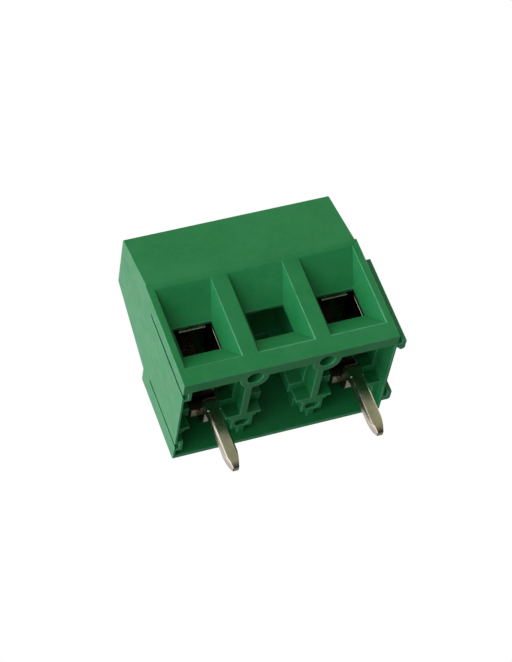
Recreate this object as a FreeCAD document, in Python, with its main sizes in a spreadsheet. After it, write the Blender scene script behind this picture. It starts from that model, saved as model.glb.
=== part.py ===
import FreeCAD, Part
import os
import re

import Sketcher

# Board screw terminal with three chambers, the two outer ones fitted.
#
# Each body is drawn in its own frame: x = 0 at the middle of its pole, y = 0 on the front face and
# z = 0 on the board. The placements then put x = 0 at the middle of the block and y = 0 on the row
# of solder pins. Wires enter towards +Y and the screws are reached from above.

DRIVING_SIZES = [
    # The block as a whole
    ("pole_pitch", 5.08, "distance between neighbouring chambers"),
    ("pole_steps", 2, "pitches from the first chamber to the last"),
    ("side_allowance", 0.15, "how much the block is narrower than its chambers' pitch"),
    ("pin_setback", 4.2, "front face to the row of solder pins"),
    # Outside of the housing
    ("ledge_height", 6.7, "board to the rear ledge"),
    ("ledge_depth", 0.95, "rear wall to the leaning back"),
    ("top_front_wall", 0.385, "wall in front of the screw head at the top"),
    ("top_rear_wall", 0.265, "wall behind the screw head at the top"),
    ("frame_height", 8.25, "board to the top of the front frame"),
    ("frame_depth", 1.06, "thickness of the front frame"),
    ("frame_step", 0.12, "how far the frame stands in front of the sloped face"),
    ("shoulder_step", 0.08, "how far the upper body is narrower on each side"),
    ("edge_round", 0.14, "rounding of the moulded outer edges"),
    # Wire entry
    ("funnel_width", 3.93, "width of the funnel's mouth"),
    ("funnel_low", 1.28, "board to the mouth's lower edge"),
    ("funnel_high", 7.75, "board to the mouth's upper edge"),
    ("funnel_depth", 1.45, "front face to the wire hole"),
    ("wire_hole_width", 2.74, "width of the wire hole"),
    ("wire_hole_step", 0.15, "open cage's floor to the hole's lower edge"),
    ("wire_hole_lap", 0.17, "underside of the current bar to the hole's upper edge"),
    ("entry_land", 0.3, "straight stretch of the wire hole"),
    # Chambers
    ("lid_thickness", 1.15, "wall above the screw head"),
    ("access_radius", 1.7, "radius of the screwdriver hole"),
    ("access_bevel", 0.3, "bevel round the screwdriver hole"),
    # Underside
    ("front_wall", 1.0, "front wall at the board"),
    ("rear_wall", 0.35, "rear wall at the board"),
    ("divider_wall", 0.5, "web between two chambers"),
    ("divider_recess", 0.6, "how far the webs stay above the board"),
    ("recess_height", 1.6, "height of the wide part of the chambers"),
    ("flange_lap", 0.19, "how far the flanges that guide the current bar reach beside it"),
    ("flange_depth", 0.45, "thickness of the flanges"),
    ("flange_reach", 1.28, "middle of the web to the end of a flange"),
    ("rear_boss_reach", 0.75, "half width of the bosses behind the flanges"),
    ("rear_boss_depth", 1.2, "flanges to the back of the rear bosses"),
    ("rear_boss_gap", 0.72, "rear bosses to the rear wall"),
    ("rear_hole_length", 1.0, "length of the oval holes in the rear bosses"),
    ("rear_hole_width", 0.62, "width of the oval holes"),
    ("rear_core_width", 3.2, "width of the pockets behind the bars' legs"),
    ("rear_core_height", 4.6, "height of these pockets, below the bars' upper bends"),
    ("front_boss_reach", 1.0, "half width of the bosses on the front wall"),
    ("front_boss_back", 2.12, "front face to the back of the front bosses"),
    ("front_hole_radius", 0.54, "radius of the holes in the front bosses"),
    ("boss_lap", 0.2, "how far the front bosses run into the housing above the wide chambers"),
    ("boss_hole_depth", 2.2, "depth of the holes in the bosses"),
    # Rails on the right side and grooves on the left side
    ("rail_reach", 0.62, "how far the rails stand out"),
    ("rail_head", 0.33, "thickness of the rails' heads"),
    ("front_rail_height", 6.9, "height of the front rail"),
    ("front_rail_front", 0.74, "front face to the front of the front rail's head"),
    ("front_rail_back", 1.72, "front face to the back of the front rail's head"),
    ("front_neck_front", 0.98, "front face to the front of the front rail's neck"),
    ("front_neck_back", 1.38, "front face to the back of the front rail's neck"),
    ("rear_rail_height", 5.4, "height of the rear rail"),
    ("rear_rail_gap", 1.09, "rear rail to the housing's rear face"),
    ("rear_rail_depth", 0.98, "depth of the rear rail's head"),
    ("rear_neck_depth", 0.53, "depth of the rear rail's neck"),
    ("groove_lip", 0.12, "thickness of the lip over a groove"),
    ("groove_mouth", 0.36, "width of the grooves' mouths"),
    ("front_groove_front", 1.1, "front face to the front groove"),
    ("front_groove_back", 1.72, "front face to the back of the front groove's pocket"),
    ("front_groove_depth", 0.42, "depth of the front groove"),
    ("rear_groove_gap", 1.21, "rear groove to the housing's rear face"),
    ("rear_groove_length", 0.64, "length of the rear groove's pocket"),
    ("rear_groove_depth", 0.36, "depth of the rear groove"),
    ("groove_wall", 0.25, "wall round a groove on the underside"),
    # Current bar and solder pin, one bent strip
    ("bar_thickness", 0.8, "thickness of the strip"),
    ("bar_width", 1.9, "width of the strip"),
    ("bar_height", 5.15, "board to the underside of the current bar"),
    ("foot_height", 0.35, "board to the underside of the strip's foot"),
    ("bend_inside", 0.25, "inner radius of the bends"),
    ("pin_bend", 0.45, "outer radius of the bend above the solder pin"),
    ("pin_width", 0.95, "width of the solder pin"),
    ("pin_length", 4.5, "length of the solder pin below the board"),
    ("pin_edge", 0.14, "bevel along the solder pin's edges"),
    ("tip_length", 1.15, "length of the taper on the pin's sides"),
    ("tip_inset", 0.26, "how far the taper narrows each side"),
    ("tip_bevel_length", 0.42, "length of the bevel on the pin's front and back"),
    ("tip_bevel_inset", 0.2, "how far the bevel goes in at the pin's end"),
    # Clamp cage
    ("cage_width", 3.7, "outer width of the cage"),
    ("cage_depth", 3.4, "depth of the cage along the wire"),
    ("cage_floor", 0.7, "thickness of the plate that lifts the wire"),
    ("cage_roof", 1.35, "thickness of the threaded top"),
    ("cage_round", 0.6, "outer radius of the folded corners"),
    ("window_round", 0.2, "inner radius of the folded corners"),
    ("wire_gap", 2.25, "open height under the current bar"),
    ("roof_gap", 0.2, "current bar to the cage's top when open"),
    ("grip_depth", 0.12, "depth of the grooves that grip the wire"),
    ("grip_pitch", 0.8, "distance between the grip grooves"),
    ("grip_steps", 2, "spaces from the first grip groove to the last"),
    # Clamp screw
    ("clamp_travel", 2.025, "rise of the cage over the screw's whole range"),
    ("screw_radius", 1.25, "radius over the screw's thread"),
    ("head_radius", 1.95, "radius of the screw's head"),
    ("head_height", 1.8, "height of the screw's head"),
    ("head_bevel", 0.18, "bevel round the top of the head"),
    ("slot_width", 0.75, "width of the screwdriver slot"),
    ("slot_depth", 0.95, "depth of the screwdriver slot"),
    ("screw_point", 0.35, "length of the screw's tapered end"),
    ("left_slot_angle", 25, "turn of the left screw's slot, in degrees"),
    ("right_slot_angle", -40, "turn of the right screw's slot, in degrees"),
    # Clearances
    ("running_fit", 0.05, "radial play between screw and cage"),
    ("head_play", 0.1, "play round the screw's head"),
    ("lid_play", 0.405, "screw's head to the lid"),
    ("window_play", 0.1, "play between the screw and the sides of the cage's window"),
    ("cage_side_play", 0.13, "play on each side of the cage"),
    ("cage_end_play", 0.265, "play in front of the cage and behind it"),
    ("slide_play", 0.12, "play along the cage's travel"),
    ("seat_play", 0.06, "play between the bar and the housing that holds it"),
]

# Sizes that follow from the driving ones, in the order they are needed.
DERIVED_SIZES = [
    # Block and chambers
    ("body_width", "pole_pitch * (pole_steps + 1) - side_allowance"),
    ("upper_width", "body_width - 2 * shoulder_step"),
    ("end_wall", "(divider_wall - side_allowance) / 2"),
    ("chamber_width", "cage_width + 2 * cage_side_play"),
    ("chamber_front", "funnel_depth + entry_land"),
    ("chamber_rear", "chamber_front + cage_depth + 2 * cage_end_play"),
    ("screw_place", "(chamber_front + chamber_rear) / 2"),
    # Current bar
    ("bar_top", "bar_height + bar_thickness"),
    ("bar_front", "chamber_front + seat_play"),
    ("leg_front", "chamber_rear + seat_play"),
    ("leg_back", "leg_front + bar_thickness"),
    ("bend_outside", "bend_inside + bar_thickness"),
    ("foot_top", "foot_height + bar_thickness"),
    ("pin_front", "pin_setback - bar_thickness / 2"),
    ("pin_back", "pin_setback + bar_thickness / 2"),
    ("shoulder_height", "foot_height + bend_outside"),
    # Cage and screw
    ("cage_bottom", "bar_height - wire_gap - cage_floor"),
    ("cage_window_top", "bar_top + roof_gap"),
    ("cage_top", "cage_window_top + cage_roof"),
    ("window_width", "2 * (screw_radius + window_play)"),
    ("head_bottom", "cage_top + clamp_travel + slide_play"),
    ("head_top", "head_bottom + head_height"),
    # Housing round them
    ("wire_hole_low", "cage_bottom + cage_floor + wire_hole_step"),
    ("wire_hole_high", "bar_height + wire_hole_lap"),
    ("chamber_top", "head_bottom"),
    ("lid_bottom", "head_top + lid_play"),
    ("top_height", "lid_bottom + lid_thickness"),
    ("top_front", "screw_place - head_radius - head_play - top_front_wall"),
    ("top_back", "screw_place + head_radius + head_play + top_rear_wall"),
    ("flange_front", "leg_back - flange_lap"),
    ("rear_boss_back", "flange_front + flange_depth + rear_boss_depth"),
    ("foot_depth", "rear_boss_back + rear_boss_gap + rear_wall"),
    ("rear_core_front", "leg_back + seat_play"),
    ("rear_rail_back", "foot_depth - rear_rail_gap"),
    ("rear_rail_front", "rear_rail_back - rear_rail_depth"),
    ("rear_neck_front", "rear_rail_back - rear_neck_depth"),
    ("rear_groove_back", "foot_depth - rear_groove_gap"),
    ("rear_groove_front", "rear_groove_back - rear_groove_length"),
]

doc = FreeCAD.newDocument("board_screw_terminal")
sheet = doc.addObject("Spreadsheet::Sheet", "sizes")


def bound(formula):
    """Point every size that a formula names at the sheet."""
    return re.sub(r"[a-z]\w*", lambda name: "sizes." + name.group(), str(formula))


def value(formula):
    """Work a formula out with the sheet's present sizes."""
    return float(sheet.evalExpression(bound(formula)))


def fill_sheet():
    """Write the driving sizes, then the derived ones, each under its own alias."""
    row = 0
    for name, number, meaning in DRIVING_SIZES:
        row += 1
        sheet.set(f"A{row}", meaning)
        sheet.set(f"B{row}", str(number))
        sheet.setAlias(f"B{row}", name)
    doc.recompute()
    for name, formula in DERIVED_SIZES:
        row += 1
        sheet.set(f"A{row}", formula.replace("_", " "))
        sheet.set(f"B{row}", "=" + formula)
        sheet.setAlias(f"B{row}", name)
        doc.recompute()


def new_body(name):
    """Start a body in its own frame."""
    body = doc.addObject("PartDesign::Body", name)
    body.Label = name
    return body


def plane_of(body, role):
    """Find one of a body's own origin planes or axes."""
    return next(item for item in body.Origin.OriginFeatures if item.Role == role)


def new_sketch(body, name, plane, lift="0"):
    """Attach a sketch to one of the body's origin planes, lifted along its normal."""
    sketch = body.newObject("Sketcher::SketchObject", name)
    sketch.AttachmentSupport = [(plane_of(body, plane), "")]
    sketch.MapMode = "FlatFace"
    sketch.setExpression("AttachmentOffset.Base.z", bound(lift))
    return sketch


def tie(sketch, kind, element, point, formula):
    """Hold one point of a sketch at a distance from the origin given by a formula."""
    limit = Sketcher.Constraint(kind, -1, 1, element, point, value(formula))
    number = sketch.addConstraint(limit)
    sketch.setExpression(f"Constraints[{number}]", bound(formula))


def add_outline(sketch, corners):
    """Draw a closed outline whose corners are pairs of formulas."""
    places = [FreeCAD.Vector(value(across), value(up), 0) for across, up in corners]
    first = sketch.GeometryCount
    for start, end in zip(places, places[1:] + places[:1]):
        sketch.addGeometry(Part.LineSegment(start, end), False)
    for index, (across, up) in enumerate(corners):
        line = first + index
        previous = first + (index - 1) % len(corners)
        sketch.addConstraint(Sketcher.Constraint("Coincident", previous, 2, line, 1))
        tie(sketch, "DistanceX", line, 1, across)
        tie(sketch, "DistanceY", line, 1, up)


def add_box(sketch, left, right, low, high):
    """Draw a rectangle between four formulas."""
    add_outline(sketch, [(left, low), (right, low), (right, high), (left, high)])


def add_circle(sketch, across, up, radius):
    """Draw a circle from three formulas."""
    middle = FreeCAD.Vector(value(across), value(up), 0)
    circle = sketch.addGeometry(Part.Circle(middle, FreeCAD.Vector(0, 0, 1), value(radius)), False)
    number = sketch.addConstraint(Sketcher.Constraint("Radius", circle, value(radius)))
    sketch.setExpression(f"Constraints[{number}]", bound(radius))
    tie(sketch, "DistanceX", circle, 3, across)
    tie(sketch, "DistanceY", circle, 3, up)


def extrude(body, kind, name, sketch, length, symmetric=False, downward=False):
    """Pad or pocket a sketch by a formula's length: up or backwards, unless it goes downward."""
    feature = body.newObject("PartDesign::" + kind, name)
    feature.Profile = sketch
    feature.setExpression("Length", bound(length))
    if symmetric:
        feature.SideType = "Symmetric"
    level = sketch.AttachmentSupport[0][0].Role == "XY_Plane"
    feature.Reversed = kind == "Pocket" and level and not downward
    doc.recompute()
    return feature


def pad(body, name, sketch, length, **choices):
    return extrude(body, "Pad", name, sketch, length, **choices)


def pocket(body, name, sketch, length, **choices):
    return extrude(body, "Pocket", name, sketch, length, **choices)


def repeat_along(body, name, axis, originals, pitch, steps):
    """Repeat features along an origin axis and make the pattern the body's tip."""
    pattern = body.newObject("PartDesign::LinearPattern", name)
    pattern.Originals = originals
    pattern.Direction = (plane_of(body, axis), [""])
    pattern.setExpression("Length", bound(f"({pitch}) * ({steps})"))
    pattern.setExpression("Occurrences", bound(f"{steps} + 1"))
    body.Tip = pattern
    doc.recompute()
    return pattern


def edges_along(body, axis, places):
    """Names of the tip's straight edges along an axis, at pairs of formulas across it."""
    across = [index for index in range(3) if index != "xyz".index(axis)]
    goals = [(value(first), value(second)) for first, second in places]
    names = []
    for number, edge in enumerate(body.Tip.Shape.Edges, 1):
        ends = [vertex.Point for vertex in edge.Vertexes]
        for goal in goals:
            offsets = [abs(point[index] - want) for point in ends for index, want in zip(across, goal)]
            if len(ends) == 2 and max(offsets) < 1e-4:
                names.append(f"Edge{number}")
    return names


def near(number, formula):
    """True where a coordinate lies on a formula's value."""
    return abs(number - value(formula)) < 1e-4


def soften(body, kind, name, edges, radius):
    """Fillet or chamfer the named edges of the tip."""
    feature = body.newObject("PartDesign::" + kind, name)
    feature.Base = (body.Tip if body.Tip != feature else feature.BaseFeature, edges)
    feature.setExpression("Radius" if kind == "Fillet" else "Size", bound(radius))
    doc.recompute()
    return feature


# Housing


def add_outer_form(body):
    """Pad the lower body, the narrower upper body and the front frame."""
    lower = new_sketch(body, "lower_side", "YZ_Plane")
    add_box(lower, "0", "foot_depth", "0", "ledge_height")
    pad(body, "lower_body", lower, "body_width", symmetric=True)

    upper = new_sketch(body, "upper_side", "YZ_Plane")
    add_outline(upper, [
        ("frame_step", "ledge_height"),
        ("frame_step", "frame_height"),
        ("top_front", "top_height"),
        ("top_back", "top_height"),
        ("foot_depth - ledge_depth", "ledge_height"),
    ])
    pad(body, "upper_body", upper, "upper_width", symmetric=True)

    frame = new_sketch(body, "frame_side", "YZ_Plane")
    add_box(frame, "0", "frame_depth", "ledge_height", "frame_height")
    pad(body, "front_frame", frame, "body_width", symmetric=True)


def round_outer_edges(body):
    """Round the long moulded edges before anything is cut into them."""
    edges = edges_along(body, "x", [
        ("top_front", "top_height"),
        ("top_back", "top_height"),
        ("foot_depth", "ledge_height"),
        ("foot_depth", "0"),
    ])
    soften(body, "Fillet", "outer_rounding", edges, "edge_round")
    frame_edge = edges_along(body, "x", [("0", "frame_height")])
    soften(body, "Fillet", "frame_rounding", frame_edge, "frame_step / 2")


def add_wire_entry(body):
    """Cut the first funnel and the wire hole behind it."""
    left = "-pole_pitch * pole_steps / 2"
    mouth = new_sketch(body, "funnel_mouth", "XZ_Plane")
    add_box(mouth, f"{left} - funnel_width / 2", f"{left} + funnel_width / 2",
            "funnel_low", "funnel_high")
    throat = new_sketch(body, "funnel_throat", "XZ_Plane", "-funnel_depth")
    add_box(throat, f"{left} - wire_hole_width / 2", f"{left} + wire_hole_width / 2",
            "wire_hole_low", "wire_hole_high")
    funnel = body.newObject("PartDesign::SubtractiveLoft", "wire_funnel")
    funnel.Profile = mouth
    funnel.Sections = [throat]
    funnel.Ruled = True
    doc.recompute()

    hole = new_sketch(body, "wire_hole_outline", "XZ_Plane", "-funnel_depth")
    add_box(hole, f"{left} - wire_hole_width / 2", f"{left} + wire_hole_width / 2",
            "wire_hole_low", "wire_hole_high")
    wire_hole = pocket(body, "wire_hole", hole, "entry_land")
    return [funnel, wire_hole]


def add_chamber(body):
    """Cut the first chamber: cage guide, bar slot, the pocket behind it and the screw bore."""
    left = "-pole_pitch * pole_steps / 2"
    cuts = []

    guide = new_sketch(body, "cage_guide_outline", "XY_Plane")
    add_box(guide, f"{left} - chamber_width / 2", f"{left} + chamber_width / 2",
            "chamber_front", "chamber_rear")
    cuts.append(pocket(body, "cage_guide", guide, "chamber_top"))

    slot_half = "(bar_width / 2 + seat_play)"
    slot = new_sketch(body, "bar_slot_outline", "XY_Plane")
    add_box(slot, f"{left} - {slot_half}", f"{left} + {slot_half}",
            "chamber_rear", "rear_core_front")
    cuts.append(pocket(body, "bar_slot", slot, "bar_top + seat_play"))

    core = new_sketch(body, "rear_core_outline", "XY_Plane")
    add_box(core, f"{left} - rear_core_width / 2", f"{left} + rear_core_width / 2",
            "rear_core_front", "foot_depth - rear_wall")
    cuts.append(pocket(body, "rear_core", core, "rear_core_height"))

    recess = new_sketch(body, "recess_outline", "XY_Plane")
    wide = "(pole_pitch - divider_wall) / 2"
    gap = "(pole_pitch / 2 - flange_reach)"
    boss = "(pole_pitch / 2 - rear_boss_reach)"
    half = [
        (wide, "front_wall"),
        (wide, "flange_front"),
        (gap, "flange_front"),
        (gap, "flange_front + flange_depth"),
        (boss, "flange_front + flange_depth"),
        (boss, "rear_boss_back"),
        (wide, "rear_boss_back"),
        (wide, "foot_depth - rear_wall"),
    ]
    right_half = [(f"{left} + {across}", along) for across, along in half]
    left_half = [(f"{left} - {across}", along) for across, along in reversed(half)]
    add_outline(recess, right_half + left_half)
    cuts.append(pocket(body, "chamber_recess", recess, "recess_height"))

    bore = new_sketch(body, "head_bore_outline", "XY_Plane")
    add_circle(bore, left, "screw_place", "head_radius + head_play")
    cuts.append(pocket(body, "head_bore", bore, "lid_bottom"))

    access = new_sketch(body, "access_outline", "XY_Plane")
    add_circle(access, left, "screw_place", "access_radius")
    cuts.append(pocket(body, "access_hole", access, "top_height"))
    return cuts


def bevel_access_holes(body):
    """Bevel the rims of the screwdriver holes."""
    edges = []
    for number, edge in enumerate(body.Tip.Shape.Edges, 1):
        if isinstance(edge.Curve, Part.Circle) and near(edge.Curve.Radius, "access_radius"):
            if near(edge.Curve.Center.z, "top_height"):
                edges.append(f"Edge{number}")
    soften(body, "Chamfer", "access_bevels", edges, "access_bevel")


def add_underside(body):
    """Lower the webs below the outer walls, then put the bosses with their holes back."""
    floor = new_sketch(body, "divider_recess_outline", "XY_Plane")
    inside = "body_width / 2 - end_wall"
    add_box(floor, f"-({inside})", inside, "front_wall", "foot_depth - rear_wall")
    pocket(body, "divider_clearing", floor, "divider_recess")

    first = "-pole_pitch * (pole_steps - 1) / 2"
    round_middle = "front_boss_back - front_boss_reach"
    root = new_sketch(body, "boss_root_outline", "XY_Plane")
    add_box(root, f"{first} - front_boss_reach", f"{first} + front_boss_reach",
            "front_wall / 2", round_middle)
    boss_root = pad(body, "front_boss_root", root, "recess_height + boss_lap")
    boss = new_sketch(body, "front_boss_outline", "XY_Plane")
    add_circle(boss, first, round_middle, "front_boss_reach")
    front_boss = pad(body, "front_boss", boss, "recess_height + boss_lap")

    front_hole = new_sketch(body, "front_hole_outline", "XY_Plane")
    add_circle(front_hole, first, "front_wall", "front_hole_radius")
    front_cut = pocket(body, "front_boss_hole", front_hole, "boss_hole_depth")

    rear_hole = new_sketch(body, "rear_hole_outline", "XY_Plane")
    add_oval(rear_hole, first, "(flange_front + flange_depth + rear_boss_back) / 2",
             "rear_hole_length", "rear_hole_width")
    rear_cut = pocket(body, "rear_boss_hole", rear_hole, "boss_hole_depth")
    repeat_along(body, "bosses", "X_Axis", [boss_root, front_boss, front_cut, rear_cut],
                 "pole_pitch", "(pole_steps - 1)")


def add_oval(sketch, across, up, length, width):
    """Draw an oval with straight sides along x, held by the centres of its round ends."""
    radius = value(f"{width} / 2")
    reach = value(f"({length} - {width}) / 2")
    x = value(across)
    y = value(up)
    turn = FreeCAD.Vector(0, 0, 1)
    quarter = 1.5707963267948966
    right = Part.Circle(FreeCAD.Vector(x + reach, y, 0), turn, radius)
    left = Part.Circle(FreeCAD.Vector(x - reach, y, 0), turn, radius)
    right_end = sketch.addGeometry(Part.ArcOfCircle(right, -quarter, quarter), False)
    left_end = sketch.addGeometry(Part.ArcOfCircle(left, quarter, 3 * quarter), False)
    top = sketch.addGeometry(Part.LineSegment(FreeCAD.Vector(x + reach, y + radius, 0),
                                              FreeCAD.Vector(x - reach, y + radius, 0)), False)
    bottom = sketch.addGeometry(Part.LineSegment(FreeCAD.Vector(x - reach, y - radius, 0),
                                                 FreeCAD.Vector(x + reach, y - radius, 0)), False)
    for one, one_end, other, other_end in [(right_end, 2, top, 1), (top, 2, left_end, 1),
                                           (left_end, 2, bottom, 1), (bottom, 2, right_end, 1)]:
        sketch.addConstraint(Sketcher.Constraint("Tangent", one, one_end, other, other_end))
    number = sketch.addConstraint(Sketcher.Constraint("Radius", right_end, radius))
    sketch.setExpression(f"Constraints[{number}]", bound(f"{width} / 2"))
    tie(sketch, "DistanceX", right_end, 3, f"{across} + ({length} - {width}) / 2")
    tie(sketch, "DistanceY", right_end, 3, up)
    tie(sketch, "DistanceX", left_end, 3, f"{across} - ({length} - {width}) / 2")
    tie(sketch, "DistanceY", left_end, 3, up)


def add_rails(body):
    """Stand the two hooked rails on the right side."""
    side = "body_width / 2"
    front = new_sketch(body, "front_rail_outline", "XY_Plane")
    add_outline(front, [
        (f"{side} - end_wall", "front_neck_front"),
        (f"{side} + rail_reach - rail_head", "front_neck_front"),
        (f"{side} + rail_reach - rail_head", "front_rail_front"),
        (f"{side} + rail_reach", "front_rail_front"),
        (f"{side} + rail_reach", "front_rail_back - edge_round"),
        (f"{side} + rail_reach - edge_round", "front_rail_back"),
        (f"{side} + rail_reach - rail_head", "front_rail_back"),
        (side, "front_neck_back"),
        (f"{side} - end_wall", "front_neck_back"),
    ])
    pad(body, "front_rail", front, "front_rail_height")

    rear = new_sketch(body, "rear_rail_outline", "XY_Plane")
    add_outline(rear, [
        (f"{side} - end_wall", "rear_neck_front"),
        (f"{side} + rail_reach - rail_head", "rear_neck_front"),
        (f"{side} + rail_reach - rail_head", "rear_rail_front"),
        (f"{side} + rail_reach", "rear_rail_front"),
        (f"{side} + rail_reach", "rear_rail_back - edge_round"),
        (f"{side} + rail_reach - edge_round", "rear_rail_back"),
        (f"{side} - end_wall", "rear_rail_back"),
    ])
    pad(body, "rear_rail", rear, "rear_rail_height")


def add_groove(body, place, height):
    """Cut one hooked groove into the left side and keep a wall round it underneath."""
    side = "-body_width / 2"
    front = f"{place}_groove_front"
    back = f"{place}_groove_back"
    depth = f"{place}_groove_depth"
    wall = new_sketch(body, f"{place}_groove_wall_outline", "XY_Plane")
    add_box(wall, f"{side} + end_wall / 2", f"{side} + {depth} + groove_wall",
            f"{front} - groove_wall", f"{back} + groove_wall")
    pad(body, f"{place}_groove_wall", wall, "recess_height + divider_recess")
    groove = new_sketch(body, f"{place}_groove_outline", "XY_Plane")
    add_outline(groove, [
        (f"{side} - groove_lip", front),
        (f"{side} + {depth}", front),
        (f"{side} + {depth}", back),
        (f"{side} + groove_lip", back),
        (f"{side} + groove_lip", f"{front} + groove_mouth"),
        (f"{side} - groove_lip", f"{front} + groove_mouth"),
    ])
    pocket(body, f"{place}_groove", groove, height)


def make_housing():
    """Mould the housing: outer form, wire entries, chambers, underside, rails and grooves."""
    body = new_body("housing")
    add_outer_form(body)
    round_outer_edges(body)
    cuts = add_wire_entry(body) + add_chamber(body)
    repeat_along(body, "poles", "X_Axis", cuts, "pole_pitch", "pole_steps")
    bevel_access_holes(body)
    add_underside(body)
    add_rails(body)
    add_groove(body, "front", "front_rail_height")
    add_groove(body, "rear", "rear_rail_height")
    return body


# Metal pieces of one pole


def make_solder_pin(name):
    """Bend one strip: current bar, leg behind the cage, foot below it and the solder pin."""
    body = new_body(name)
    strip = new_sketch(body, "strip_side", "YZ_Plane")
    add_outline(strip, [
        ("bar_front", "bar_height"),
        ("leg_front", "bar_height"),
        ("leg_front", "foot_top"),
        ("pin_front", "foot_top"),
        ("pin_front", "-pin_length"),
        ("pin_back", "-pin_length"),
        ("pin_back", "foot_height"),
        ("leg_back", "foot_height"),
        ("leg_back", "bar_top"),
        ("bar_front", "bar_top"),
    ])
    pad(body, "bent_strip", strip, "bar_width", symmetric=True)

    inner = [("leg_front", "bar_height"), ("leg_front", "foot_top"), ("pin_back", "foot_height")]
    outer = [("leg_back", "bar_top"), ("leg_back", "foot_height")]
    soften(body, "Fillet", "inner_bends", edges_along(body, "x", inner), "bend_inside")
    soften(body, "Fillet", "outer_bends", edges_along(body, "x", outer), "bend_outside")
    soften(body, "Fillet", "front_bend", edges_along(body, "x", [("pin_front", "foot_top")]), "pin_bend")

    trim = new_sketch(body, "foot_trim_outline", "XZ_Plane")
    for sign in ("-", ""):
        add_box(trim, f"{sign}(pin_width / 2)", f"{sign}(bar_width / 2 + pin_width)",
                "-pin_length - tip_length", "shoulder_height")
    pocket(body, "foot_trim", trim, "(leg_back + bend_inside) * 2", symmetric=True)

    corners = new_sketch(body, "pin_corners", "XY_Plane")
    for side, inward in (("-pin_width / 2", "+"), ("pin_width / 2", "-")):
        for face, back in (("pin_front", "+"), ("pin_back", "-")):
            add_outline(corners, [
                (f"{side} {inward} pin_edge", f"{face} {back} (-pin_edge)"),
                (f"{side} {inward} pin_edge", face),
                (side, f"{face} {back} pin_edge"),
                (f"{side} {inward} (-pin_edge)", f"{face} {back} pin_edge"),
                (f"{side} {inward} (-pin_edge)", f"{face} {back} (-pin_edge)"),
            ])
    pocket(body, "pin_bevels", corners, "pin_length + tip_length", downward=True)

    add_taper(body, "side_taper", "XZ_Plane", "pin_width / 2", "-pin_width / 2", "tip_length", "tip_inset")
    add_taper(body, "tip_bevel", "YZ_Plane", "pin_back", "pin_front", "tip_bevel_length", "tip_bevel_inset")
    return body


def add_taper(body, name, plane, far, close, length, inset):
    """Narrow the end of the solder pin from two opposite sides."""
    taper = new_sketch(body, f"{name}_outline", plane)
    for side, outward in ((far, "+"), (close, "-")):
        add_outline(taper, [
            (side, f"-pin_length + {length}"),
            (f"{side} {outward} (-{inset})", "-pin_length"),
            (f"{side} {outward} (-{inset})", f"-pin_length - {length}"),
            (f"{side} {outward} {length}", f"-pin_length - {length}"),
            (f"{side} {outward} {length}", f"-pin_length + {length}"),
        ])
    pocket(body, name, taper, "(pin_back + pin_width) * 2", symmetric=True)


def make_clamp_cage(name):
    """Fold the cage: a ring round the wire and the bar, threaded above, grooved below."""
    body = new_body(name)
    ring = new_sketch(body, "ring_front", "XZ_Plane", "-(screw_place + cage_depth / 2)")
    add_box(ring, "-cage_width / 2", "cage_width / 2", "cage_bottom", "cage_top")
    add_box(ring, "-window_width / 2", "window_width / 2",
            "cage_bottom + cage_floor", "cage_window_top")
    pad(body, "ring", ring, "cage_depth")

    corners = [(x, z) for x in ("-cage_width / 2", "cage_width / 2") for z in ("cage_bottom", "cage_top")]
    soften(body, "Fillet", "folded_corners", edges_along(body, "y", corners), "cage_round")
    insides = [(x, z) for x in ("-window_width / 2", "window_width / 2")
               for z in ("cage_bottom + cage_floor", "cage_window_top")]
    soften(body, "Fillet", "window_corners", edges_along(body, "y", insides), "window_round")

    thread = new_sketch(body, "thread_outline", "XY_Plane", "cage_top")
    add_circle(thread, "0", "screw_place", "screw_radius + running_fit")
    pocket(body, "thread_bore", thread, "cage_roof + window_round", downward=True)

    grip = new_sketch(body, "grip_side", "YZ_Plane")
    first = "screw_place - grip_pitch * grip_steps / 2"
    add_outline(grip, [
        (f"{first} - grip_depth", "cage_bottom + cage_floor"),
        (first, "cage_bottom + cage_floor - grip_depth"),
        (f"{first} + grip_depth", "cage_bottom + cage_floor"),
    ])
    groove = pocket(body, "grip_groove", grip, "window_width - 2 * window_round", symmetric=True)
    repeat_along(body, "grip", "Y_Axis", [groove], "grip_pitch", "grip_steps")
    return body


def make_clamp_screw(name):
    """Turn the screw and slot its head."""
    body = new_body(name)
    profile = new_sketch(body, "screw_profile", "XZ_Plane")
    add_outline(profile, [
        ("0", "bar_top + running_fit"),
        ("screw_radius - screw_point", "bar_top + running_fit"),
        ("screw_radius", "bar_top + running_fit + screw_point"),
        ("screw_radius", "head_bottom"),
        ("head_radius", "head_bottom"),
        ("head_radius", "head_top - head_bevel"),
        ("head_radius - head_bevel", "head_top"),
        ("0", "head_top"),
    ])
    turned = body.newObject("PartDesign::Revolution", "turned")
    turned.Profile = profile
    turned.ReferenceAxis = (plane_of(body, "Z_Axis"), [""])
    turned.Angle = 360
    doc.recompute()

    slot = new_sketch(body, "slot_outline", "YZ_Plane")
    add_box(slot, "-slot_width / 2", "slot_width / 2", "head_top - slot_depth", "head_top + slot_depth")
    pocket(body, "driver_slot", slot, "head_radius * 2.5", symmetric=True)
    return body


# Assembly


def place(body, x, y, turn="0"):
    """Put a body into the block's frame."""
    body.setExpression("Placement.Base.x", bound(x))
    body.setExpression("Placement.Base.y", bound(y))
    body.Placement.Rotation = FreeCAD.Rotation(FreeCAD.Vector(0, 0, 1), value(turn))


def make_poles():
    """Fit the outer two chambers, and leave the middle one empty."""
    pieces = []
    for side, x in (("left", "-pole_pitch * pole_steps / 2"), ("right", "pole_pitch * pole_steps / 2")):
        pin = make_solder_pin(f"solder_pin_{side}")
        place(pin, x, "-pin_setback")
        cage = make_clamp_cage(f"clamp_cage_{side}")
        place(cage, x, "-pin_setback")
        screw = make_clamp_screw(f"clamp_screw_{side}")
        place(screw, x, "screw_place - pin_setback", f"{side}_slot_angle")
        pieces += [pin, cage, screw]
    return pieces


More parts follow.
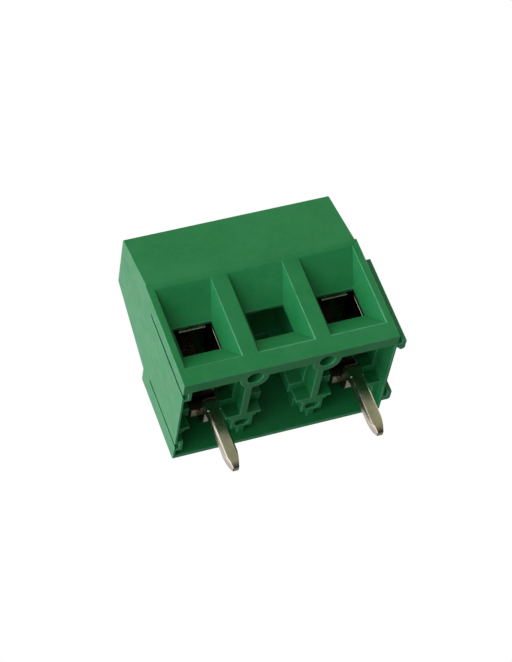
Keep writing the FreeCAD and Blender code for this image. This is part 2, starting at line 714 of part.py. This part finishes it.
def check(pieces):
    """Stop if anything in the document failed or a piece is not one valid solid."""
    doc.recompute()
    for item in doc.Objects:
        if "Invalid" in item.State or "Error" in item.State:
            raise RuntimeError(f"{item.Name} failed: {item.State}")
        if item.TypeId == "PartDesign::Pocket" and item.Shape.Volume >= item.BaseFeature.Shape.Volume:
            raise RuntimeError(f"{item.Name} cuts nothing")
    for piece in pieces:
        shape = piece.Shape
        if shape.isNull() or not shape.isValid() or len(shape.Solids) != 1:
            raise RuntimeError(f"{piece.Label} is not one valid solid")


def main():
    fill_sheet()
    housing = make_housing()
    place(housing, "0", "-pin_setback")
    pieces = [housing] + make_poles()
    check(pieces)
    os.makedirs("parts", exist_ok=True)
    for piece in pieces:
        piece.Shape.exportStep(f"parts/{piece.Label}.step")
        print(piece.Label, round(piece.Shape.Volume, 3), len(piece.Shape.Faces), piece.Shape.BoundBox)


main()
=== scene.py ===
import math

import bmesh
import bpy
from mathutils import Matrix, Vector


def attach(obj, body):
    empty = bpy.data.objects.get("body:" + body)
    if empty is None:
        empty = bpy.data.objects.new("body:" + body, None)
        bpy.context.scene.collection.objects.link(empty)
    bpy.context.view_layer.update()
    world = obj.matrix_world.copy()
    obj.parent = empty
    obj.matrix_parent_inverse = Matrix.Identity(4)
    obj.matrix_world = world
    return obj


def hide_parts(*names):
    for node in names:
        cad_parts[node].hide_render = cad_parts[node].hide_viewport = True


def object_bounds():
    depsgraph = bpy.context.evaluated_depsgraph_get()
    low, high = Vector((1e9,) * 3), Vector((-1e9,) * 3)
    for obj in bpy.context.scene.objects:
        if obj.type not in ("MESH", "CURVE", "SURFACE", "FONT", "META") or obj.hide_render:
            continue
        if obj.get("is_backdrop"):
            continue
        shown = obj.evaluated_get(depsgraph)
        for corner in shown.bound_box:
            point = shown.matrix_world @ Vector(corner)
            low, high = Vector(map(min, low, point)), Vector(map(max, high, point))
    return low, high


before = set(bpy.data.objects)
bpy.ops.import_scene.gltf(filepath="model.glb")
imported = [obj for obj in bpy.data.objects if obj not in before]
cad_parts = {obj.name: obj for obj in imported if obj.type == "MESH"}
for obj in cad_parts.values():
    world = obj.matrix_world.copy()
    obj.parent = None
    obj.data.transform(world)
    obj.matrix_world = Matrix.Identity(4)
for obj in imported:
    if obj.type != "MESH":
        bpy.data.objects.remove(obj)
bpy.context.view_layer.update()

bl_info = {
    "name": "Board screw terminal",
    "version": (1, 0, 0),
    "blender": (4, 5, 0),
    "location": "3D View > Sidebar > Terminal",
    "description": "Gives the packed screw terminal its moulded edges, its finishes and a studio",
    "category": "Object",
}

SIDES = ("left", "right")
MILLIMETRE = 0.001

# In a copied CAD mesh, points nearer than this in millimetres and faces flatter than this are merged.
MERGE_DISTANCE = 0.002
FLAT_ANGLE = math.radians(1)

# The new faces of a rounding take this material slot for a moment, and are then marked in an attribute.
ROUNDING_SLOT = 1
ROUNDING_STEPS = 2
ROUNDING_MARK = "rounding"

# How fine the patterns are, as noise scales in cells to a metre.
PLASTIC_FLOW = 420.0
PLASTIC_SPECKS = 3200.0
PLASTIC_GLOSS = 1100.0
MOULDED_GRAIN = 9000.0
METAL_GLOSS = 1600.0
METAL_LINES = 6000.0
TIN_TARNISH = 700.0
PLATING_TARNISH = 900.0
EDGE_HIGHLIGHT_AND_WEAR = 900.0

# How strong the patterns are.
FLOW_STRENGTH = 0.7
SPECK_STRENGTH = 0.4
LEAST_HIGHLIGHT_AND_WEAR = 0.35
PLATING_WEAR = 0.8
LINE_STRETCH = 0.10
LINE_DEPTH = 0.002 * MILLIMETRE
PLATING_DEPTH = 0.003 * MILLIMETRE

# How far an uneven roughness goes below and above its setting.
SMOOTHER = 0.05
ROUGHER_PLASTIC = 0.06
ROUGHER_METAL = 0.07

# Where a strip's colour changes: how far from the tin line the copper and then the painted shade begin, and
# how far behind the sheared end the painted glint fades in.
TIN_TO_COPPER = (-0.35 * MILLIMETRE, 0.15 * MILLIMETRE)
COPPER_TO_SHADE = (0.5 * MILLIMETRE, 1.1 * MILLIMETRE)
SHEARED_GLINT_FADE = 0.04 * MILLIMETRE

# Places of the two colours among a Mix node's inputs, and of the mixed colour among its outputs.
COLOUR_INPUTS = (6, 7)
COLOUR_OUTPUT = 2

# The soft lights of the studio: the side each one stands on, its strength and its faint tint.
SOFT_LIGHTS = (
    ((-1, -1, 0), 2.45, (1.0, 1.0, 1.08)),
    ((-1, 0, 0), 1.95, (1.05, 1.0, 1.22)),
    ((-1, 0, -1), 0.80, (1.0, 1.0, 1.08)),
    ((1, 1, 1), 1.20, (1.0, 1.0, 1.0)),
    ((-1, -1, 1), 0.60, (0.90, 1.0, 0.75)),
    ((-1, 1, 1), 1.20, (1.06, 1.0, 1.12)),
    ((0, 1, 0), 0.32, (1.0, 1.0, 1.0)),
    ((1, -1, 1), 0.75, (0.98, 1.0, 0.80)),
    ((1, 1, -1), 0.30, (1.0, 1.0, 1.0)),
    ((0, 0, 1), 0.20, (1.0, 1.0, 1.0)),
    ((1, 0, 0), 0.20, (1.0, 1.0, 1.0)),
)
LIGHT_FOCUS = 5.0

# The camera's sensor in millimetres, and what it sees in metres.
SENSOR_WIDTH = 36
NEAREST_VIEW = 0.001
FURTHEST_VIEW = 10


# Settings


class TerminalHousingSettings(bpy.types.PropertyGroup):
    edge_softness: bpy.props.FloatProperty(
        name="Edge softness", description="Width of the rounding on the moulded edges",
        default=0.06 * MILLIMETRE, min=0, unit="LENGTH")
    edge_angle: bpy.props.FloatProperty(
        name="Edge angle", description="Edges sharper than this are rounded",
        default=math.radians(32), subtype="ANGLE")
    # The rounded edges of the moulding take a lighter green, a painted highlight along them.
    edge_highlight_colour: bpy.props.FloatVectorProperty(
        name="Edges", description="Colour of the rubbed edges",
        default=(0.10, 0.38, 0.20), size=3, subtype="COLOR", min=0, max=1)
    edge_highlight_and_wear: bpy.props.FloatProperty(
        name="Edge wear", description="How much of that colour the edges take", default=0.7, min=0, max=1)
    colour: bpy.props.FloatVectorProperty(
        name="Plastic", description="Colour of the moulding",
        default=(0.011, 0.206, 0.053), size=3, subtype="COLOR", min=0, max=1)
    pale_colour: bpy.props.FloatVectorProperty(
        name="Pale patches", description="Colour of the paler patches in the moulding",
        default=(0.024, 0.246, 0.074), size=3, subtype="COLOR", min=0, max=1)
    roughness: bpy.props.FloatProperty(
        name="Roughness", description="Roughness of the satin plastic", default=0.42, min=0, max=1)
    gloss: bpy.props.FloatProperty(
        name="Gloss", description="How strongly the plastic reflects", default=0.28, min=0, max=1)
    grain_depth: bpy.props.FloatProperty(
        name="Grain depth", description="Depth of the moulded grain",
        default=0.004 * MILLIMETRE, min=0, unit="LENGTH")


class TerminalMetalSettings(bpy.types.PropertyGroup):
    edge_softness: bpy.props.FloatProperty(
        name="Edge softness", description="Width of the rounding on stamped and turned edges",
        default=0.05 * MILLIMETRE, min=0, unit="LENGTH")
    edge_angle: bpy.props.FloatProperty(
        name="Edge angle", description="Edges sharper than this are rounded",
        default=math.radians(50), subtype="ANGLE")
    tin: bpy.props.FloatVectorProperty(
        name="Tin", description="Colour of the dipped solder pins",
        default=(0.56, 0.53, 0.42), size=3, subtype="COLOR", min=0, max=1)
    dull_tin: bpy.props.FloatVectorProperty(
        name="Dull tin", description="Colour of the tarnish on the solder pins",
        default=(0.46, 0.43, 0.30), size=3, subtype="COLOR", min=0, max=1)
    copper: bpy.props.FloatVectorProperty(
        name="Copper", description="Colour of the bend above the tin",
        default=(0.40, 0.33, 0.24), size=3, subtype="COLOR", min=0, max=1)
    # Painted shade: the strip inside the housing is given a dark copper.
    shaded_copper: bpy.props.FloatVectorProperty(
        name="Dark copper", description="Colour of the bare strip inside the housing",
        default=(0.15, 0.13, 0.11), size=3, subtype="COLOR", min=0, max=1)
    # Painted glint: the sheared front end is bright bare copper with a glint painted on it.
    bare_copper_glint: bpy.props.FloatVectorProperty(
        name="Fresh copper", description="Colour of the sheared front end of the strip",
        default=(0.86, 0.72, 0.58), size=3, subtype="COLOR", min=0, max=1)
    sheared_end: bpy.props.FloatProperty(
        name="Sheared end", description="How far forward the bare sheared end of the strip begins",
        default=-2.33 * MILLIMETRE, unit="LENGTH")
    tin_line: bpy.props.FloatProperty(
        name="Tin line", description="Height above the board where the tin ends",
        default=0.9 * MILLIMETRE, unit="LENGTH")
    strip_roughness: bpy.props.FloatProperty(
        name="Strip roughness", description="Roughness of the strips", default=0.22, min=0, max=1)
    cage: bpy.props.FloatVectorProperty(
        name="Cage", description="Colour of the clamp cages",
        default=(0.42, 0.37, 0.29), size=3, subtype="COLOR", min=0, max=1)
    dull_cage: bpy.props.FloatVectorProperty(
        name="Dull cage", description="Colour of the tarnish on the cages",
        default=(0.28, 0.24, 0.18), size=3, subtype="COLOR", min=0, max=1)
    cage_roughness: bpy.props.FloatProperty(
        name="Cage roughness", description="Roughness of the cages", default=0.2, min=0, max=1)
    zinc: bpy.props.FloatVectorProperty(
        name="Zinc", description="Colour of the clamp screws",
        default=(0.60, 0.61, 0.62), size=3, subtype="COLOR", min=0, max=1)
    dull_zinc: bpy.props.FloatVectorProperty(
        name="Dull zinc", description="Colour of the tarnish on the screws",
        default=(0.44, 0.45, 0.44), size=3, subtype="COLOR", min=0, max=1)
    screw_roughness: bpy.props.FloatProperty(
        name="Screw roughness", description="Roughness of the screws", default=0.26, min=0, max=1)


class TerminalStageSettings(bpy.types.PropertyGroup):
    camera_place: bpy.props.FloatVectorProperty(
        name="Camera", description="Place of the camera, in front of the block and below it",
        default=(-0.045564, -0.135621, -0.076509), size=3, subtype="TRANSLATION", unit="LENGTH")
    camera_turn: bpy.props.FloatVectorProperty(
        name="Camera turn", description="How the camera is turned",
        default=[math.radians(turn) for turn in (121.7832, 19.2979, -6.9211)], size=3, subtype="EULER")
    lens: bpy.props.FloatProperty(
        name="Lens", description="Focal length in millimetres", default=132.567, min=1)
    floor_gap: bpy.props.FloatProperty(
        name="Floor gap", description="How far the floor lies below the pins",
        default=0.05 * MILLIMETRE, unit="LENGTH")
    floor_reach: bpy.props.FloatProperty(
        name="Floor reach", description="Half the width of the floor", default=0.6, unit="LENGTH")
    floor_colour: bpy.props.FloatVectorProperty(
        name="Floor", description="Colour of the floor",
        default=(0.86, 0.86, 0.85), size=3, subtype="COLOR", min=0, max=1)
    brightness: bpy.props.FloatProperty(
        name="Brightness", description="Strength of all the studio lights together", default=0.86, min=0)


# Rounding the edges of copied pieces


def only(piece):
    """Select one object and nothing else."""
    bpy.ops.object.select_all(action="DESELECT")
    piece.select_set(True)
    bpy.context.view_layer.objects.active = piece


def copy_of_node(node, name):
    """A separate piece with a copy of a CAD node's mesh."""
    piece = bpy.data.objects.new(name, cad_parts[node].data.copy())
    bpy.context.scene.collection.objects.link(piece)
    piece.data.materials.clear()
    return piece


def resize(piece, factor):
    """Scale a piece's mesh about the origin."""
    only(piece)
    piece.scale = (factor, factor, factor)
    bpy.ops.object.transform_apply(location=False, rotation=False, scale=True)


def merge_faces():
    """Merge the loose triangles of the piece in edit mode into whole faces."""
    bpy.ops.mesh.select_mode(type="EDGE")
    bpy.ops.mesh.select_all(action="SELECT")
    bpy.ops.mesh.customdata_custom_splitnormals_clear()
    bpy.ops.mesh.remove_doubles(threshold=MERGE_DISTANCE)
    bpy.ops.mesh.dissolve_degenerate(threshold=MERGE_DISTANCE)
    bpy.ops.mesh.dissolve_limited(angle_limit=FLAT_ANGLE)


def select_convex_edges(piece, angle):
    """Select the edges of a piece that stand out and are sharper than an angle."""
    bpy.ops.mesh.select_all(action="DESELECT")
    shape = bmesh.from_edit_mesh(piece.data)
    for edge in shape.edges:
        edge.select_set(edge.is_manifold and edge.is_convex and edge.calc_face_angle() > angle)
    bmesh.update_edit_mesh(piece.data)


def mark_rounding(piece):
    """Note which faces are roundings in an attribute, for the materials."""
    rounding = piece.data.attributes.new(ROUNDING_MARK, "FLOAT", "FACE")
    for face, mark in zip(piece.data.polygons, rounding.data):
        mark.value = face.material_index
        face.material_index = 0


def smooth_faces(piece, angle):
    """Shade a piece smoothly over its roundings while its large faces stay flat."""
    bpy.ops.object.shade_smooth_by_angle(angle=angle)
    bpy.ops.object.modifier_add(type="WEIGHTED_NORMAL")
    piece.modifiers[-1].keep_sharp = True
    bpy.ops.object.modifier_apply(modifier=piece.modifiers[-1].name)


def soften_edges(piece, width, angle):
    """Round the edges of a copied CAD mesh that stand out. Works in millimetres, because bevels of
    a few hundredths lose their shape in metres."""
    resize(piece, 1 / MILLIMETRE)
    for _ in range(ROUNDING_SLOT + 1):
        piece.data.materials.append(None)
    bpy.ops.object.mode_set(mode="EDIT")
    merge_faces()
    select_convex_edges(piece, angle)
    bpy.ops.mesh.bevel(offset=width / MILLIMETRE, segments=ROUNDING_STEPS, clamp_overlap=False,
                       material=ROUNDING_SLOT)
    bpy.ops.object.mode_set(mode="OBJECT")
    mark_rounding(piece)
    smooth_faces(piece, angle)
    resize(piece, MILLIMETRE)


def dress(piece, material):
    """Give every face of a piece one material."""
    piece.data.materials.clear()
    piece.data.materials.append(material)


def finish_node(node, name, body, material, settings):
    """Stand a copy with softened edges and its own finish in place of a CAD node."""
    piece = copy_of_node(node, name)
    soften_edges(piece, settings.edge_softness, settings.edge_angle)
    dress(piece, material)
    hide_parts(node)
    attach(piece, body)


# Small tools for node trees


def new_node(tree, kind, **values):
    """Add a node and set its own properties."""
    node = tree.nodes.new("ShaderNode" + kind)
    for name, value in values.items():
        setattr(node, name, value)
    return node


def supply(tree, socket, value):
    """Link a socket into an input, or set anything else on it."""
    if isinstance(value, bpy.types.NodeSocket):
        tree.links.new(value, socket)
    else:
        socket.default_value = value


def feed(tree, node, **inputs):
    """Fill a node's inputs by name, where underscores stand for spaces, and return the node."""
    for name, value in inputs.items():
        supply(tree, node.inputs[name.replace("_", " ")], value)
    return node


def calculate(tree, kind, operation, *values):
    """One step of arithmetic as a socket: Math for numbers, VectorMath for colours and directions."""
    step = new_node(tree, kind, operation=operation)
    for socket, value in zip(step.inputs, values):
        supply(tree, socket, value)
    return step.outputs["Value" if kind == "Math" or operation == "DOT_PRODUCT" else "Vector"]


def mix_colours(tree, mask, first, second):
    """Mix two colours or colour sockets by a mask and return the colour socket."""
    node = new_node(tree, "Mix", data_type="RGBA")
    tree.links.new(mask, node.inputs["Factor"])
    for place, colour in zip(COLOUR_INPUTS, (first, second)):
        is_socket = isinstance(colour, bpy.types.NodeSocket)
        supply(tree, node.inputs[place], colour if is_socket else (*colour, 1))
    return node.outputs[COLOUR_OUTPUT]


def spread(tree, value, low, high):
    """Map a mask onto a range and return the value socket."""
    return feed(tree, new_node(tree, "MapRange"), Value=value, To_Min=low, To_Max=high).outputs["Result"]


def step_up(tree, value, start, end):
    """A mask that goes softly from 0 to 1 as a value goes from start to end."""
    rise = new_node(tree, "MapRange", interpolation_type="SMOOTHSTEP")
    return feed(tree, rise, Value=value, From_Min=start, From_Max=end).outputs["Result"]


def either_shader(tree, switch, first, second):
    """Show the first shader node where a switch is 0 and the second where it is 1, as a socket."""
    choose = new_node(tree, "MixShader")
    for place, socket in enumerate((switch, first.outputs[0], second.outputs[0])):
        tree.links.new(socket, choose.inputs[place])
    return choose.outputs[0]


def object_place(tree):
    """The coordinates of a point on the piece, which are those of the part at rest."""
    return new_node(tree, "TexCoord").outputs["Object"]


def ramp(tree, axis, start, end):
    """A mask that goes softly from 0 to 1 between two places along an axis of the part."""
    place = new_node(tree, "SeparateXYZ")
    tree.links.new(object_place(tree), place.inputs[0])
    return step_up(tree, place.outputs[axis], start, end)


# Node groups that the materials share


def new_group(name, output, **inputs):
    """Start a node group with number sockets. Returns its tree, its given inputs and its output."""
    tree = bpy.data.node_groups.new(name, "ShaderNodeTree")
    for label, default in inputs.items():
        socket = tree.interface.new_socket(name=label, in_out="INPUT", socket_type="NodeSocketFloat")
        socket.default_value = default
    tree.interface.new_socket(name=output, in_out="OUTPUT", socket_type="NodeSocketFloat")
    given = tree.nodes.new("NodeGroupInput").outputs
    return tree, given, tree.nodes.new("NodeGroupOutput").inputs[output]


def make_grain_group():
    """Fine grain for mouldings and plated metal: the height of noise that can be drawn out along Z."""
    tree, given, height = new_group("fine_grain", "Height", Scale=MOULDED_GRAIN, Stretch=1.0)
    stretch = feed(tree, new_node(tree, "CombineXYZ"), X=1.0, Y=1.0, Z=given["Stretch"])
    drawn = calculate(tree, "VectorMath", "MULTIPLY", object_place(tree), stretch.outputs[0])
    noise = new_node(tree, "TexNoise")
    feed(tree, noise, Vector=drawn, Scale=given["Scale"], Detail=3.0, Roughness=0.6)
    tree.links.new(noise.outputs["Fac"], height)
    return tree


def make_patch_group():
    """Soft uneven patches, for tarnish and for the flow of a moulding: a mask from 0 to 1."""
    tree, given, mask = new_group("soft_patches", "Mask", Scale=PLASTIC_FLOW, Low=0.35, High=0.65)
    noise = new_node(tree, "TexNoise")
    feed(tree, noise, Vector=object_place(tree), Scale=given["Scale"], Detail=4.0, Roughness=0.55,
         Distortion=0.4)
    tree.links.new(step_up(tree, noise.outputs["Fac"], given["Low"], given["High"]), mask)
    return tree


def make_highlight_and_wear_group():
    """Painted highlight on the rounded edges of the moulding, and wear on the edges of the plated metal: an
    uneven mask that is nowhere stronger than its amount.
    """
    tree, given, mask = new_group("edge_highlight_and_wear", "Mask", Scale=EDGE_HIGHLIGHT_AND_WEAR, Amount=1.0)
    rounding = new_node(tree, "Attribute", attribute_name=ROUNDING_MARK)
    rubbed = placed(tree, "soft_patches", Scale=given["Scale"], Low=0.3, High=0.6)
    strength = calculate(tree, "Math", "MULTIPLY", spread(tree, rubbed, LEAST_HIGHLIGHT_AND_WEAR, 1.0), given["Amount"])
    tree.links.new(calculate(tree, "Math", "MULTIPLY", rounding.outputs["Fac"], strength), mask)
    return tree


GROUP_MAKERS = {
    "fine_grain": make_grain_group,
    "soft_patches": make_patch_group,
    "edge_highlight_and_wear": make_highlight_and_wear_group,
}


def placed(tree, name, **inputs):
    """Put a shared node group into a tree with its own values and return what it puts out. The group
    is made the first time that it is used."""
    shared = bpy.data.node_groups.get(name) or GROUP_MAKERS[name]()
    return feed(tree, new_node(tree, "Group", node_tree=shared), **inputs).outputs[0]


# Finishes


def start_material(name):
    """A new node material with its tree and its Principled BSDF."""
    material = bpy.data.materials.new(name)
    material.use_nodes = True
    return material, material.node_tree, material.node_tree.nodes["Principled BSDF"]


def vary_roughness(tree, shader, patches, roughness, rougher):
    """Make the roughness uneven by a mask: a little smoother here and rougher there."""
    uneven = spread(tree, patches, roughness - SMOOTHER, roughness + rougher)
    tree.links.new(uneven, shader.inputs["Roughness"])


def roughen(tree, shader, height, depth):
    """Turn a height into the shader's normal."""
    bump = feed(tree, new_node(tree, "Bump"), Height=height, Distance=depth, Strength=1.0)
    tree.links.new(bump.outputs["Normal"], shader.inputs["Normal"])


def green_plastic(settings):
    """Satin green moulding with a fine grain, faint uneven flow and a painted highlight on its rounded
    edges.
    """
    material, tree, shader = start_material("green_plastic")
    flow = placed(tree, "soft_patches", Scale=PLASTIC_FLOW, Low=0.3, High=0.7)
    colour = mix_colours(tree, spread(tree, flow, 0.0, FLOW_STRENGTH), settings.colour, settings.pale_colour)
    specks = placed(tree, "soft_patches", Scale=PLASTIC_SPECKS, Low=0.35, High=0.65)
    colour = mix_colours(tree, spread(tree, specks, 0.0, SPECK_STRENGTH), colour, settings.pale_colour)
    # Painted highlight: the rounded edges take a lighter green.
    edge_highlight = placed(tree, "edge_highlight_and_wear", Scale=EDGE_HIGHLIGHT_AND_WEAR, Amount=settings.edge_highlight_and_wear)
    tree.links.new(mix_colours(tree, edge_highlight, colour, settings.edge_highlight_colour), shader.inputs["Base Color"])
    patches = placed(tree, "soft_patches", Scale=PLASTIC_GLOSS, Low=0.25, High=0.75)
    vary_roughness(tree, shader, patches, settings.roughness, ROUGHER_PLASTIC)
    shader.inputs["Specular IOR Level"].default_value = settings.gloss
    grain = placed(tree, "fine_grain", Scale=MOULDED_GRAIN, Stretch=1.0)
    roughen(tree, shader, grain, settings.grain_depth)
    return material


def start_metal(name, roughness, stretch, depth):
    """Metal with uneven roughness and a fine grain, which a stretch under 1 draws out into lines along
    Z. Its colour is still to be given."""
    material, tree, shader = start_material(name)
    shader.inputs["Metallic"].default_value = 1.0
    patches = placed(tree, "soft_patches", Scale=METAL_GLOSS, Low=0.2, High=0.8)
    vary_roughness(tree, shader, patches, roughness, ROUGHER_METAL)
    roughen(tree, shader, placed(tree, "fine_grain", Scale=METAL_LINES, Stretch=stretch), depth)
    return material, tree, shader


def tarnished(tree, bright, dull, scale):
    """A metal's two colours mixed in soft patches, as a socket."""
    stain = placed(tree, "soft_patches", Scale=scale, Low=0.35, High=0.7)
    return mix_colours(tree, stain, bright, dull)


def plated_metal(name, bright, dull, roughness):
    """Plated metal with soft tarnish that is rubbed off its edges."""
    material, tree, shader = start_metal(name, roughness, 1.0, PLATING_DEPTH)
    rubbed = placed(tree, "edge_highlight_and_wear", Scale=EDGE_HIGHLIGHT_AND_WEAR, Amount=PLATING_WEAR)
    colour = mix_colours(tree, rubbed, tarnished(tree, bright, dull, PLATING_TARNISH), bright)
    tree.links.new(colour, shader.inputs["Base Color"])
    return material


def dipped_strip(settings):
    """Copper strip with a tin-dipped pin: tin below, bare copper at the bend, painted shade inside the
    housing, and bare copper with a painted glint at the sheared front end of the bar."""
    material, tree, shader = start_metal("tin_dipped_copper", settings.strip_roughness, LINE_STRETCH,
                                         LINE_DEPTH)
    tin = tarnished(tree, settings.tin, settings.dull_tin, TIN_TARNISH)
    # Painted shade: above the bend the copper turns dark inside the housing.
    inside = ramp(tree, "Z", *(settings.tin_line + height for height in COPPER_TO_SHADE))
    bare = mix_colours(tree, inside, settings.copper, settings.shaded_copper)
    above_tin = ramp(tree, "Z", *(settings.tin_line + height for height in TIN_TO_COPPER))
    # Painted glint: the sheared front end of the bar turns bright.
    sheared = ramp(tree, "Y", settings.sheared_end + SHEARED_GLINT_FADE, settings.sheared_end)
    colour = mix_colours(tree, sheared, mix_colours(tree, above_tin, tin, bare), settings.bare_copper_glint)
    tree.links.new(colour, shader.inputs["Base Color"])
    return material


# Operators for the pieces


class TERMINAL_OT_mould_housing(bpy.types.Operator):
    """Round the moulded edges of the housing and give it its green plastic"""
    bl_idname = "terminal.mould_housing"
    bl_label = "Mould the housing"

    def execute(self, context):
        settings = context.scene.terminal_housing
        finish_node("housing", "housing_moulding", "housing", green_plastic(settings), settings)
        return {"FINISHED"}


class TERMINAL_OT_bend_strips(bpy.types.Operator):
    """Round the edges of the bent strips and give them their tin-dipped pins"""
    bl_idname = "terminal.bend_strips"
    bl_label = "Bend the strips"

    def execute(self, context):
        settings = context.scene.terminal_metal
        finish = dipped_strip(settings)
        for side in SIDES:
            finish_node(f"solder_pin_{side}", f"bent_strip_{side}", "housing", finish, settings)
        return {"FINISHED"}


class TERMINAL_OT_fold_cages(bpy.types.Operator):
    """Round the edges of the clamp cages and give them their dull plating"""
    bl_idname = "terminal.fold_cages"
    bl_label = "Fold the cages"

    def execute(self, context):
        settings = context.scene.terminal_metal
        finish = plated_metal("cage_plating", settings.cage, settings.dull_cage, settings.cage_roughness)
        for side in SIDES:
            finish_node(f"clamp_cage_{side}", f"folded_cage_{side}", f"cage_{side}",
                        finish, settings)
        return {"FINISHED"}


class TERMINAL_OT_turn_screws(bpy.types.Operator):
    """Round the edges of the clamp screws and give them their zinc plating"""
    bl_idname = "terminal.turn_screws"
    bl_label = "Turn the screws"

    def execute(self, context):
        settings = context.scene.terminal_metal
        finish = plated_metal("zinc_plating", settings.zinc, settings.dull_zinc, settings.screw_roughness)
        for side in SIDES:
            finish_node(f"clamp_screw_{side}", f"turned_screw_{side}", f"screw_{side}",
                        finish, settings)
        return {"FINISHED"}


# The stage


def add_camera(settings):
    """The photograph's viewpoint."""
    camera = bpy.data.cameras.new("camera")
    camera.lens = settings.lens
    camera.sensor_width = SENSOR_WIDTH
    camera.clip_start = NEAREST_VIEW
    camera.clip_end = FURTHEST_VIEW
    viewer = bpy.data.objects.new("camera", camera)
    bpy.context.scene.collection.objects.link(viewer)
    viewer.location = settings.camera_place
    viewer.rotation_euler = settings.camera_turn
    bpy.context.scene.camera = viewer


def soft_light(tree, direction, side, colour):
    """Light that is strongest from one side and fades softly round it."""
    facing = calculate(tree, "VectorMath", "DOT_PRODUCT", direction, Vector(side).normalized())
    strength = calculate(tree, "Math", "POWER", calculate(tree, "Math", "MAXIMUM", facing, 0.0), LIGHT_FOCUS)
    return calculate(tree, "VectorMath", "MULTIPLY", strength, colour)


def all_lights(tree):
    """The sum of the studio's soft lights, as a colour socket."""
    direction = new_node(tree, "TexCoord").outputs["Generated"]
    light = (0, 0, 0)
    for side, strength, tint in SOFT_LIGHTS:
        lamp = soft_light(tree, direction, side, Vector(tint) * strength)
        light = calculate(tree, "VectorMath", "ADD", lamp, light)
    return light


def add_room(settings):
    """Large soft lights all round, and plain white where the camera looks past the part."""
    world = bpy.data.worlds.new("pale_room")
    world.use_nodes = True
    bpy.context.scene.world = world
    tree = world.node_tree
    tree.nodes.clear()
    soft = feed(tree, new_node(tree, "Background"), Color=all_lights(tree), Strength=settings.brightness)
    white = feed(tree, new_node(tree, "Background"), Color=(1, 1, 1, 1))
    seen = new_node(tree, "LightPath").outputs["Is Camera Ray"]
    end = new_node(tree, "OutputWorld")
    tree.links.new(either_shader(tree, seen, soft, white), end.inputs["Surface"])


def one_sided(name, colour):
    """A plain pale material that shows from its front only."""
    material, tree, shader = start_material(name)
    feed(tree, shader, Base_Color=(*colour, 1), Roughness=0.7)
    behind = new_node(tree, "NewGeometry").outputs["Backfacing"]
    clear = new_node(tree, "BsdfTransparent")
    end = tree.nodes["Material Output"]
    tree.links.new(either_shader(tree, behind, shader, clear), end.inputs["Surface"])
    return material


def add_floor(settings):
    """A pale floor below the pins. It shows from above only, so that a camera below it sees the part."""
    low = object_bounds()[0].z - settings.floor_gap
    bpy.ops.object.select_all(action="DESELECT")
    bpy.ops.mesh.primitive_plane_add(size=2 * settings.floor_reach, location=(0, 0, low))
    floor = bpy.context.object
    floor.name = "floor"
    bpy.ops.object.transform_apply(location=True, rotation=False, scale=True)
    dress(floor, one_sided("pale_floor", settings.floor_colour))
    for rays in ("shadow", "diffuse", "glossy", "transmission"):
        setattr(floor, f"visible_{rays}", False)
    floor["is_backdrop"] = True


class TERMINAL_OT_set_stage(bpy.types.Operator):
    """Add the camera, the lights, the pale room and the floor"""
    bl_idname = "terminal.set_stage"
    bl_label = "Set the stage"

    def execute(self, context):
        settings = context.scene.terminal_stage
        add_camera(settings)
        add_room(settings)
        add_floor(settings)
        context.scene.view_settings.view_transform = "Standard"
        return {"FINISHED"}


# The add-on


class TERMINAL_PT_panel(bpy.types.Panel):
    """Settings and steps of the terminal"""
    bl_idname = "TERMINAL_PT_panel"
    bl_label = "Board screw terminal"
    bl_space_type = "VIEW_3D"
    bl_region_type = "UI"
    bl_category = "Terminal"

    def draw(self, context):
        for name in SETTINGS:
            settings = getattr(context.scene, name)
            box = self.layout.box()
            for label in settings.bl_rna.properties.keys():
                if label not in ("rna_type", "name"):
                    box.prop(settings, label)
        for step in STEPS:
            self.layout.operator(step.bl_idname)


SETTINGS = {
    "terminal_housing": TerminalHousingSettings,
    "terminal_metal": TerminalMetalSettings,
    "terminal_stage": TerminalStageSettings,
}
STEPS = (
    TERMINAL_OT_mould_housing,
    TERMINAL_OT_bend_strips,
    TERMINAL_OT_fold_cages,
    TERMINAL_OT_turn_screws,
    TERMINAL_OT_set_stage,
)


def register():
    for kind in (*SETTINGS.values(), *STEPS, TERMINAL_PT_panel):
        bpy.utils.register_class(kind)
    for name, kind in SETTINGS.items():
        setattr(bpy.types.Scene, name, bpy.props.PointerProperty(type=kind))


def unregister():
    for name in SETTINGS:
        delattr(bpy.types.Scene, name)
    for kind in (TERMINAL_PT_panel, *reversed(STEPS), *reversed(list(SETTINGS.values()))):
        bpy.utils.unregister_class(kind)


def main():
    register()
    bpy.ops.terminal.mould_housing()
    bpy.ops.terminal.bend_strips()
    bpy.ops.terminal.fold_cages()
    bpy.ops.terminal.turn_screws()
    bpy.ops.terminal.set_stage()


if __name__ == "__main__":
    main()
